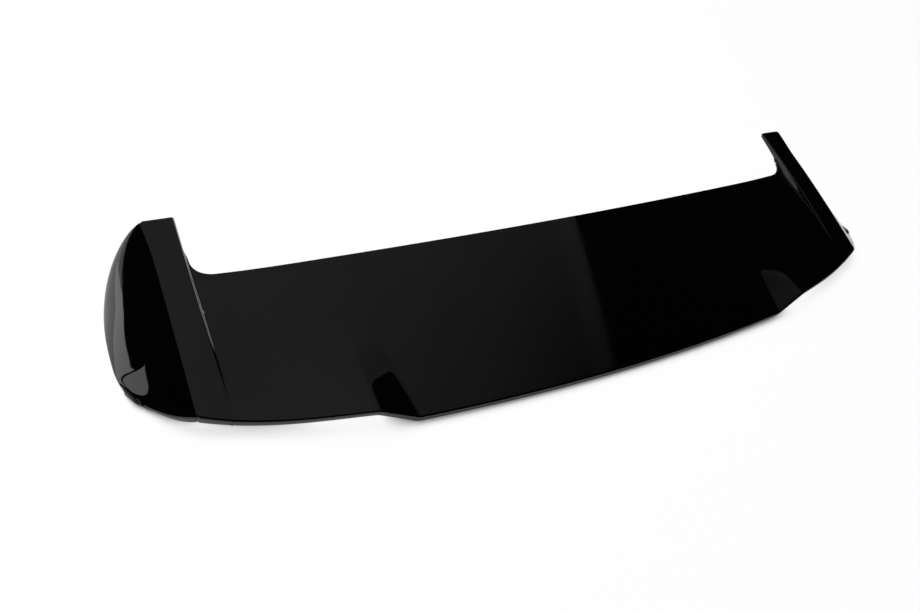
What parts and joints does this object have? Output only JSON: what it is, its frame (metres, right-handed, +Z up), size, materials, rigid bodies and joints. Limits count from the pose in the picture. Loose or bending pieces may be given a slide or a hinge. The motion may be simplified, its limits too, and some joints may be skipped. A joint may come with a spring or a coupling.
{
  "type": "car roof spoiler",
  "caption": "Gloss black roof spoiler for a hatchback: a wide blade with a turned-down trailing rim, forward side fins and curved cheeks.",
  "frame": {"origin": "centre of the footprint on the floor, at the height of the cheeks' lower edges and the middle of the trailing rim, on which the spoiler rests", "axes": "+Z up with the spoiler at rest; +Y is the direction of travel, towards the fins; +X is to the right of the car; the YZ plane is the plane of symmetry"},
  "size_m": [1.251, 0.341, 0.0877],
  "materials": {
    "spoiler_shell": "injection moulded ABS in high-gloss piano black, with a faint orange peel and a little dust"
  },
  "bodies": {
    "root": {"spoiler_shell": "spoiler_shell"}
  },
  "joints": []
}
